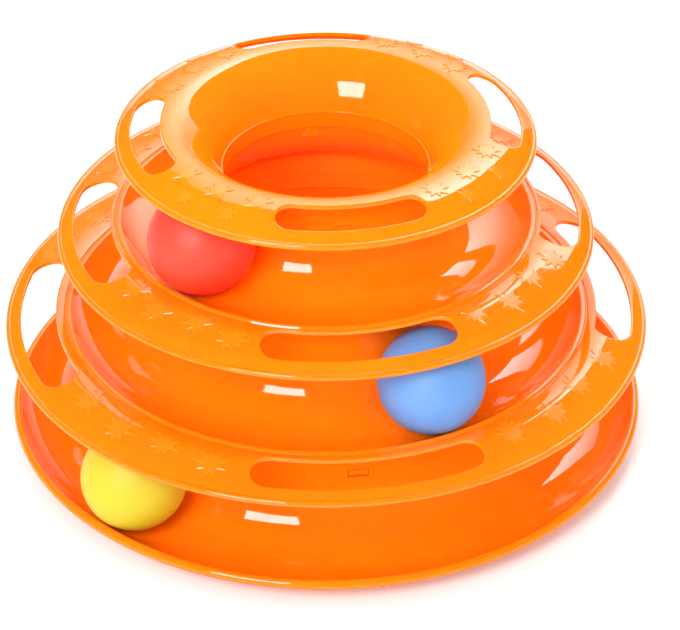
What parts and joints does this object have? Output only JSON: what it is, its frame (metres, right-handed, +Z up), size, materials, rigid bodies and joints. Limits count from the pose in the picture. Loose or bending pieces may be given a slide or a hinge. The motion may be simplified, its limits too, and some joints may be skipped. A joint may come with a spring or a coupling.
{
  "type": "cat ball track toy",
  "caption": "Tower of ring-shaped tracks for cats, with slotted domed flanges, a funnel top and a ball running round in each track.",
  "frame": {"origin": "on the tower's axis, on the floor that the pads stand on", "axes": "+Z up along the tower's axis, -Y towards the front, +X to the right"},
  "size_m": [0.2498, 0.2498, 0.1334],
  "materials": {
    "orange_plastic": "glossy translucent-looking orange plastic",
    "yellow_ball": "satin yellow plastic",
    "blue_ball": "satin light blue plastic",
    "red_ball": "satin red plastic",
    "pad_rubber": "matte black rubber"
  },
  "bodies": {
    "tower": {"base_tray": "orange_plastic", "lower_ring": "orange_plastic", "upper_ring": "orange_plastic", "top_ring": "orange_plastic", "pad_1": "pad_rubber", "pad_2": "pad_rubber", "pad_3": "pad_rubber", "pad_4": "pad_rubber"},
    "yellow_ball": {"yellow_ball": "yellow_ball"},
    "blue_ball": {"blue_ball": "blue_ball"},
    "red_ball": {"red_ball": "red_ball"}
  },
  "joints": [
    {"name": "yellow_orbit", "type": "hinge", "parent": "tower", "child": "yellow_ball", "pos_m": [0, 0, 0.02375], "axis": [0, 0, 1], "continuous": true},
    {"name": "blue_orbit", "type": "hinge", "parent": "tower", "child": "blue_ball", "pos_m": [0, 0, 0.0665], "axis": [0, 0, 1], "continuous": true},
    {"name": "red_orbit", "type": "hinge", "parent": "tower", "child": "red_ball", "pos_m": [0, 0, 0.107], "axis": [0, 0, 1], "continuous": true}
  ]
}
